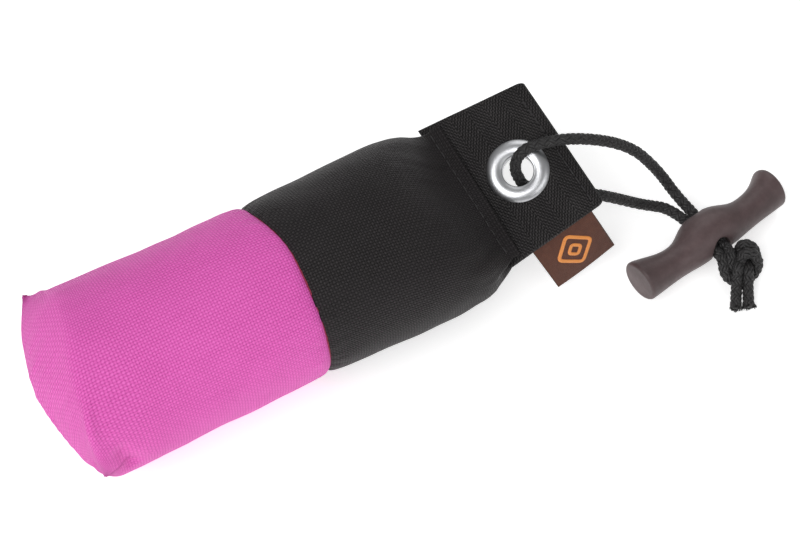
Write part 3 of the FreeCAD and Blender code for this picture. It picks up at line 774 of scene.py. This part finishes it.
def neck_section(q, shrink=0.0):
    """One closed section of the rear cover, evenly spaced, from the far side round over the top."""
    _, x, y, z, W, H, tr, pw, tuck = pchip(ST[:, 0], ST, q)
    W, H = W - shrink, H - shrink
    a = np.linspace(0, 2 * math.pi, 1441)[:-1]
    c, s = np.cos(a), np.sin(a)
    yy = W * np.sign(c) * np.abs(c) ** (2 / pw)
    hh = H * np.sign(s) * np.abs(s) ** (2 / pw)
    # tucked sides: the cloth folds inward between the two layers
    open_h = 0.62
    w = np.clip(1 - (np.abs(hh / H) / open_h), 0, 1)
    w = w * w * (3 - 2 * w)
    yy = yy - np.sign(c) * tuck * w
    pts = np.stack([yy, hh], 1)
    # start at the top centre so that the map stays square there
    start = 360
    pts = np.roll(pts, -start, 0)
    pts = np.concatenate([pts, pts[:1]])
    seg = np.linalg.norm(np.diff(pts, axis=0), axis=1)
    s_ = np.concatenate([[0], np.cumsum(seg)])
    want = (np.arange(N_AROUND) / N_AROUND) * s_[-1]
    ev = np.stack([np.interp(want, s_, pts[:, 0]), np.interp(want, s_, pts[:, 1])], 1)
    ev = np.roll(ev, N_AROUND // 4, 0)
    ey = rodrigues(np.array([0.0, 1.0, 0.0]), TAB_AXIS, TAB_TURN * tr)
    ez = rodrigues(np.array([0.0, 0.0, 1.0]), TAB_AXIS, TAB_TURN * tr)
    ex = rodrigues(np.array([1.0, 0.0, 0.0]), TAB_AXIS, TAB_TURN * tr)
    return np.array([x, y, z]) + ev[:, :1] * ey + ev[:, 1:] * ez, ex, ey, ez


qs = np.concatenate([np.linspace(0, 44, 74), np.linspace(44, 63.4, 60)[1:]])
rows = []
for q in qs:
    S, ex, ey, ez = neck_section(q)
    d = q
    ctr = S.mean(0)
    rad = unit(S - ctr)
    lose = seam_profile(q)
    S = S - rad * lose
    # near the ring seam the rings follow its skew
    k = float(1 - smooth(0.0, 26.0, q))
    S[:, 0] += k * (seam_x(S[:, 1]) - 4.6)
    # the lip sits a little further out on the far side
    e = float(smooth(56.0, 63.4, q))
    S = S + ex * (e * (0.55 * (S[:, 1:2] / 22.0) - 0.35))
    rows.append(S)
R = np.stack(rows, 0)
R = floor_press(R)
Nr = grid_normals(R)
if Nr[30, N_AROUND // 4, 2] < 0:
    Nr = -Nr
calm = (1 - 0.75 * smooth(52, 62, qs))[:, None]
P = R + Nr * (0.36 * calm * (0.8 * noise_at(R, 17.0, 41.0, 2) + 0.3 * noise_at(R, 7.5, 77.0, 1)))[..., None]
puck = noise_at(np.stack([np.broadcast_to(arc, P.shape[:2]) / 2.8, np.broadcast_to(qs[:, None], P.shape[:2]) / 9.0, np.zeros(P.shape[:2])], 2), 1.0, 25.0, 2)
P += Nr * (0.30 * np.exp(-(qs / 5.0) ** 2)[:, None] * puck)[..., None]
# long soft pleats that run into the neck
pleat = noise_at(np.stack([np.broadcast_to(arc, P.shape[:2]) / 6.5, np.broadcast_to(qs[:, None], P.shape[:2]) / 40.0, np.zeros(P.shape[:2])], 2), 1.0, 61.0, 2)
bell = (smooth(38, 52, qs) * (1 - 0.85 * smooth(57, 63, qs)))[:, None]
P += Nr * (0.55 * bell * pleat)[..., None]
P[..., 2] = np.maximum(P[..., 2], 0.06)
inward = unit(np.stack([np.zeros(N_AROUND), P[0][:, 1], P[0][:, 2] - ZC], 1))
head = [P[0] - np.array([0.15, 0, 0]) - inward * 1.4, P[0] - np.array([0.25, 0, 0]) - inward * 0.55]
# the lip turns over and runs back inside
tail = []
S_out = P[-1]
for back, shrink in ((-0.55, 0.25), (-0.72, 0.75), (-0.45, 1.2), (0.4, 1.45), (2.0, 1.5), (4.5, 1.5)):
    S, ex, ey, ez = neck_section(63.4, shrink)
    S = S + ex * (0.55 * (S[:, 1:2] / 22.0) - 0.35) - TAB_X * back
    tail.append(S)
Pr = np.concatenate([np.stack(head, 0), P, np.stack(tail, 0)], 0)
vv = np.concatenate([[-1.5, -0.6], qs, qs[-1] + np.array([0.5, 1.0, 1.6, 2.5, 4.1, 6.6])])
uvg = np.zeros((Pr.shape[0], N_AROUND + 1, 2))
uvg[..., 0] = np.arange(N_AROUND + 1) * 2 * math.pi / N_AROUND * 26.0
uvg[..., 1] = -vv[:, None]
rear = grid_piece("rear_cover_cloth", Pr, True, uvg, [black_cloth], merge=0.005)
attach(rear, "bumper")
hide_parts("rear_cover", "neck_hem")

# thread that shows in the ring seam
a = np.linspace(0, 2 * math.pi, 721)
ry = 24.50 * np.cos(a)
rz = ZC + 0.2 + 24.30 * np.sin(a)
rz = np.maximum(rz, 1.0)
ringP = np.stack([seam_x(ry) + 0.03 * np.sin(a * 55), ry, rz], 1)
_, u1, v1 = frames_along(ringP)
vv_, ff_, uu_ = tube_arrays(ringP, 0.20, 0.20, u1, v1, 8)
ring = mesh_piece("ring_seam_stitching", vv_, ff_, uu_, [red_thread])
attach(ring, "bumper")
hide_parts("ring_seam_thread")


def stitches(name, mat, points, normals, pitch=2.9, fill=0.80, r=0.24, lift=0.20):
    """Raised lockstitches along a line on a surface."""
    line, s = resample(points, step=0.2)
    nn = np.stack([np.interp(s, np.linspace(0, s[-1], len(normals)), np.asarray(normals)[:, i]) for i in range(3)], 1)
    nn = unit(nn)
    count = int(s[-1] // pitch)
    verts, faces, uvs, base = [], [], [], 0
    for k in range(count):
        a_, b_ = k * pitch + pitch * (1 - fill) / 2, (k + 1) * pitch - pitch * (1 - fill) / 2
        ts = np.linspace(a_, b_, 13)
        P_ = np.stack([np.interp(ts, s, line[:, i]) for i in range(3)], 1)
        N_ = unit(np.stack([np.interp(ts, s, nn[:, i]) for i in range(3)], 1))
        w_ = np.linspace(-1, 1, 13)
        hump = lift * (1 - w_ ** 4) - 0.28 * w_ ** 8
        P_ = P_ + N_ * hump[:, None]
        T_ = unit(np.gradient(P_, axis=0))
        S_ = unit(np.cross(T_, N_))
        rr = r * np.sqrt(np.clip(1.02 - w_ ** 6, 0.05, 1))
        v_, f_, q_ = tube_arrays(P_, rr, rr * 0.85, S_, unit(np.cross(S_, T_)), 8, base)
        verts.append(v_)
        faces += f_
        uvs += q_
        base += len(v_)
    return mesh_piece(name, np.concatenate(verts), faces, uvs, [mat])


# end seam stitches follow the closed edge of the front cover
edge = Pf[-1][8:half - 8]
st = stitches("end_seam_stitching", pink_thread, edge + np.array([0.25, 0, -0.55]), np.tile(unit(np.array([-1.0, 0, -0.6])), (len(edge), 1)), 2.7, r=0.16, lift=0.10)
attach(st, "bumper")
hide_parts("end_seam_stitches")

# ------------------------------------------------------------------ webbing
def web_far(x):
    return 25.8 - 0.150 * x


def web_near(x):
    return -20.4 + 0.03 * x


def web_section(x):
    """Closed outline of the doubled webbing at one station, as (y, z)."""
    end = 27.3
    half_t = 1.28
    if x > end - half_t:
        half_t = half_t * math.sqrt(max(0.0, 1 - ((x - (end - half_t)) / half_t) ** 2))
    y1, y0_ = web_far(x), web_near(x)
    # rounded corners in plan
    r = 2.2
    k = max(0.0, x - (end - r)) / r
    pull = r * (1 - math.sqrt(max(0.0, 1 - min(k, 1.0) ** 2)))
    y1 -= pull * 0.45
    y0_ += pull * 0.5
    lay = half_t * 0.5
    a = np.linspace(0, math.pi, 9)
    far_top = np.stack([y1 - lay + lay * np.sin(a), lay + lay * np.cos(a)], 1)
    far_bot = np.stack([y1 - lay + lay * np.sin(a), -lay + lay * np.cos(a)], 1)
    near_bot = np.stack([y0_ + lay - lay * np.sin(a), -lay - lay * np.cos(a)], 1)
    near_top = np.stack([y0_ + lay - lay * np.sin(a), lay - lay * np.cos(a)], 1)
    # the slit between the two layers stops short of the fold
    mid = 0.5 * (y1 + y0_)
    deep = float(smooth(25.9, 24.4, x))
    gap_f = np.array([[(y1 - lay - 0.5 * half_t) * (1 - deep) + (mid + 0.6) * deep, 0.0]])
    gap_n = np.array([[(y0_ + lay + 0.5 * half_t) * (1 - deep) + (mid - 0.6) * deep, 0.0]])
    ny = 150
    top = np.stack([np.linspace(y0_ + lay, y1 - lay, ny)[1:-1], np.full(ny - 2, half_t)], 1)
    bot = np.stack([np.linspace(y1 - lay, y0_ + lay, ny)[1:-1], np.full(ny - 2, -half_t)], 1)
    return np.concatenate([top, far_top, gap_f, far_bot, bot, near_bot, gap_n, near_top])


xs = np.concatenate([np.linspace(-5.0, 25.6, 104), 26.02 + 1.28 * np.sin(np.linspace(0, math.pi / 2 * 0.985, 14))])
rows, us = [], []
for x in xs:
    sec = web_section(x)
    wave = 0.16 * math.sin(x * 0.33 + 1.0)
    z = sec[:, 1] + 0.20 * np.sin(sec[:, 0] * 0.16 + 0.6) * smooth(2, 20, x) + wave * 0.3
    rows.append(TAB_O + TAB_X * x + sec[:, :1] * TAB_Y + z[:, None] * TAB_N)
    us.append(sec[:, 0])
Wp = np.stack(rows, 0)
us = np.stack(us, 0)
arcx = np.concatenate([[0], np.cumsum(np.linalg.norm(np.diff(Wp[:, 75], axis=0), axis=1))]) + 0.6
uvg = np.zeros((len(xs), Wp.shape[1] + 1, 2))
uvg[:, :-1, 1] = us
uvg[:, -1, 1] = us[:, 0]
uvg[..., 0] = arcx[:, None]
web = grid_piece("tab_webbing_folded", Wp, True, uvg, [webbing_mat], merge=0.0, caps=(0, -1))
# hole for the eyelet
cut = bpy.data.meshes.new("hole")
bm = bmesh.new()
bmesh.ops.create_cone(bm, cap_ends=True, segments=64, radius1=0.0050, radius2=0.0050, depth=0.012)
axisM = Matrix(((TAB_X[0], TAB_Y[0], TAB_N[0]), (TAB_X[1], TAB_Y[1], TAB_N[1]), (TAB_X[2], TAB_Y[2], TAB_N[2]))).to_4x4()
bmesh.ops.transform(bm, matrix=Matrix.Translation(Vector(m(tab(12.05, 1.0, 0)))) @ axisM, verts=bm.verts)
bm.to_mesh(cut)
bm.free()
cut_ob = bpy.data.objects.new("hole", cut)
scene.collection.objects.link(cut_ob)
mod = web.modifiers.new("hole", "BOOLEAN")
mod.operation = "DIFFERENCE"
mod.object = cut_ob
mod.solver = "EXACT"
dg = bpy.context.evaluated_depsgraph_get()
done = bpy.data.meshes.new_from_object(web.evaluated_get(dg))
web.modifiers.clear()
web.data = done
bpy.data.objects.remove(cut_ob)
for p in web.data.polygons:
    p.use_smooth = True
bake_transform(web)
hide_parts("tab_webbing", "strap_anchor")

# stitch rows on the tab and behind the neck's lip
ys = np.linspace(-17.6, 19.2, 40)
tp = np.stack([tab(24.3 - 0.012 * y, y, 1.30 + 0.20 * math.sin(y * 0.16 + 0.6)) for y in ys])
st2 = stitches("tab_end_stitching", black_thread, tp, np.tile(TAB_N, (len(tp), 1)), 2.9)
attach(st2, "tab")
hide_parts("tab_end_stitches")

row = int(np.argmin(np.abs(qs - 60.6)))
topq = P[row][26:N_AROUND // 2 - 26]
tn = Nr[row][26:N_AROUND // 2 - 26]
st3 = stitches("neck_stitching", black_thread, topq + tn * 0.02, tn, 2.9, lift=0.08)
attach(st3, "bumper")
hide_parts("neck_stitches")

# ------------------------------------------------------------------- eyelet
metal = metal_material()
for nme in ("eyelet", "eyelet_washer"):
    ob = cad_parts[nme]
    if not ob.material_slots:
        ob.data.materials.append(metal)
    for slot_ in ob.material_slots:
        slot_.material = metal
toggle_mat = toggle_material()
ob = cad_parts["toggle"]
if not ob.material_slots:
    ob.data.materials.append(toggle_mat)
for slot_ in ob.material_slots:
    slot_.material = toggle_mat
for nme in ("inner_bag", "granulate_fill", "liner_closure"):
    g = Graph(nme)
    nz = g.noise(g.coord("Object"), 1400.0, 2.0, 0.6)
    g.set(Base_Color=g.ramp(nz, [(0.3, (0.42, 0.40, 0.36)), (0.7, (0.62, 0.60, 0.55))]), Roughness=0.8, Normal=g.bump(nz, 0.0001))
    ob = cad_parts[nme]
    if not ob.material_slots:
        ob.data.materials.append(g.m)
    for slot_ in ob.material_slots:
        slot_.material = g.m

# -------------------------------------------------------------------- label
H1, H2 = np.array([71.15, -17.24, 19.22]), np.array([90.25, -17.24, 25.8])
B1, B2 = np.array([77.4, -24.3, 3.5]), np.array([96.9, -22.6, 8.5])


def label_point(a, b):
    """a across 0..1, b down 0..1 from the webbing to the fold."""
    p = (H1 * (1 - a) + H2 * a) * (1 - b) + (B1 * (1 - a) + B2 * a) * b
    out = np.array([-0.058, -0.943, 0.332])
    bow = 0.9 * np.sin(math.pi * b) * 0.6 + 0.35 * np.sin(math.pi * a) * b - 0.5 * (a - 0.5) * b
    return p + out * bow


na, nb = 46, 46
la = np.linspace(0, 1, na)
lb = np.linspace(-0.06, 1, nb)
M_ = np.array([[label_point(a_, b_) for a_ in la] for b_ in lb])
Ln = grid_normals(M_, wrap=False)
if Ln[20, 20, 1] > 0:
    Ln = -Ln
half_t = 0.36 * np.sqrt(np.clip(1 - np.clip((lb - (1 - 0.022)) / 0.022, 0, 1) ** 2, 0.0, 1))[:, None, None]
frontf, backf = M_ + Ln * half_t, M_ - Ln * half_t
# the two layers part at the sides, down to just above the fold
deep = smooth(0.97, 0.90, lb)[:, None, None]
gap_r = M_[:, -1:] * (1 - deep) + M_[:, 24:25] * deep
gap_l = M_[:, :1] * (1 - deep) + M_[:, 21:22] * deep
loop = np.concatenate([frontf, gap_r, backf[:, ::-1], gap_l], axis=1)
uvg = np.zeros((nb, loop.shape[1] + 1, 2))
ua = np.concatenate([la, [0.5], la[::-1], [0.5]]) * 20.4
uvg[:, :-1, 0] = ua
uvg[:, -1, 0] = ua[0]
uvg[..., 1] = (lb * 17.8)[:, None]
lab = grid_piece("folded_label", loop, True, uvg, [label_mat], merge=0.01, caps=(0,))
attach(lab, "label")
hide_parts("label")


def band(points, width, height, base, count=None, closed=True):
    """Raised satin-stitch band along a closed outline on the label; points are (a, b)."""
    pts = np.asarray(points, float)
    if closed:
        pts = np.concatenate([pts, pts[:1]])
    size = np.array([20.4, 17.8])
    line, s = resample(pts * size, step=0.18)
    t = np.gradient(line, axis=0)
    t = unit(t)
    nrm = np.stack([-t[:, 1], t[:, 0]], 1)
    w = np.linspace(-1, 1, 9)
    rows_, uv_ = [], []
    for i in range(len(line)):
        r_ = []
        for k_ in w:
            ab = (line[i] + nrm[i] * k_ * width / 2) / size
            pnt = label_point(ab[0], ab[1])
            r_.append(pnt)
        rows_.append(r_)
        uv_.append([(k_ * width / 2, s[i]) for k_ in w] )
    G_ = np.array(rows_)
    n_ = np.broadcast_to(Ln[20, 20], G_.shape)
    G_ = G_ + n_ * (0.36 + height * np.sqrt(np.clip(1 - w ** 4, 0, 1)))[None, :, None] - n_ * 0.05
    return G_, np.array(uv_)


def rounded(points, r=0.18, n=6):
    """Corner-rounded closed outline in label fractions."""
    pts = np.asarray(points, float)
    out = []
    for i in range(len(pts)):
        p_, a_, b_ = pts[i], pts[i - 1], pts[(i + 1) % len(pts)]
        q0, q1 = p_ + (a_ - p_) * r, p_ + (b_ - p_) * r
        for t_ in np.linspace(0, 1, n):
            out.append((1 - t_) ** 2 * q0 + 2 * t_ * (1 - t_) * p_ + t_ ** 2 * q1)
    return np.array(out)


parts = []
outer = rounded([(0.5, 0.18), (0.78, 0.50), (0.5, 0.82), (0.22, 0.50)])
inner_ = rounded([(0.5, 0.38), (0.605, 0.50), (0.5, 0.62), (0.395, 0.50)], 0.3)
for pts_, wd in ((outer, 1.25), (inner_, 1.15)):
    G_, U_ = band(pts_, wd, 0.22, 0)
    parts.append((G_, U_))
vts, fcs, uvv, base = [], [], [], 0
for G_, U_ in parts:
    nr_, nc_ = G_.shape[:2]
    vts.append(G_.reshape(-1, 3))
    for j in range(nr_ - 1):
        for i in range(nc_ - 1):
            fcs.append((base + j * nc_ + i, base + j * nc_ + i + 1, base + (j + 1) * nc_ + i + 1, base + (j + 1) * nc_ + i))
            uvv += [tuple(U_[j, i]), tuple(U_[j, i + 1]), tuple(U_[j + 1, i + 1]), tuple(U_[j + 1, i])]
    base += nr_ * nc_
motif = mesh_piece("label_lozenge", np.concatenate(vts), fcs, uvv, [satin_mat])
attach(motif, "label")
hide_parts("label_motif")

# ------------------------------------------------------- floor, light, world
fv = [(-3000, -3000, 0), (3000, -3000, 0), (3000, 3000, 0), (-3000, 3000, 0)]
floor = mesh_piece("floor", fv, [(0, 1, 2, 3)], None, (), False)
g = Graph("floor")
nz = g.noise(g.coord("Object"), 3.0, 2.0, 0.5)
g.set(Base_Color=g.mix(nz, (0.86, 0.86, 0.86), (0.88, 0.88, 0.88)), Roughness=0.9)
g.set(Specular_IOR_Level=0.1, Emission_Color=(1.0, 1.0, 1.0, 1.0), Emission_Strength=0.52)
floor.data.materials.append(g.m)

world = bpy.data.worlds.new("studio")
scene.world = world
world.use_nodes = True
wt = world.node_tree
bg = wt.nodes["Background"]
bg.inputs[0].default_value = (1.0, 1.0, 1.0, 1.0)
bg.inputs[1].default_value = 0.30


def area(name, pos, target, size, power, color=(1, 1, 1)):
    L = bpy.data.lights.new(name, "AREA")
    L.shape = "RECTANGLE"
    L.size, L.size_y = size
    L.energy = power
    L.color = color
    ob_ = bpy.data.objects.new(name, L)
    scene.collection.objects.link(ob_)
    d_ = Vector(target) - Vector(pos)
    ob_.location = pos
    ob_.rotation_euler = d_.to_track_quat("-Z", "Y").to_euler()
    return ob_


area("key", (-0.55, -0.25, 0.75), (0, 0, 0.02), (0.7, 0.7), 6.0)
area("fill", (0.5, 0.7, 0.9), (0, 0, 0.02), (0.9, 0.9), 3.2)
area("front", (0.35, -0.9, 0.6), (0.05, 0, 0.02), (0.8, 0.5), 2.0)
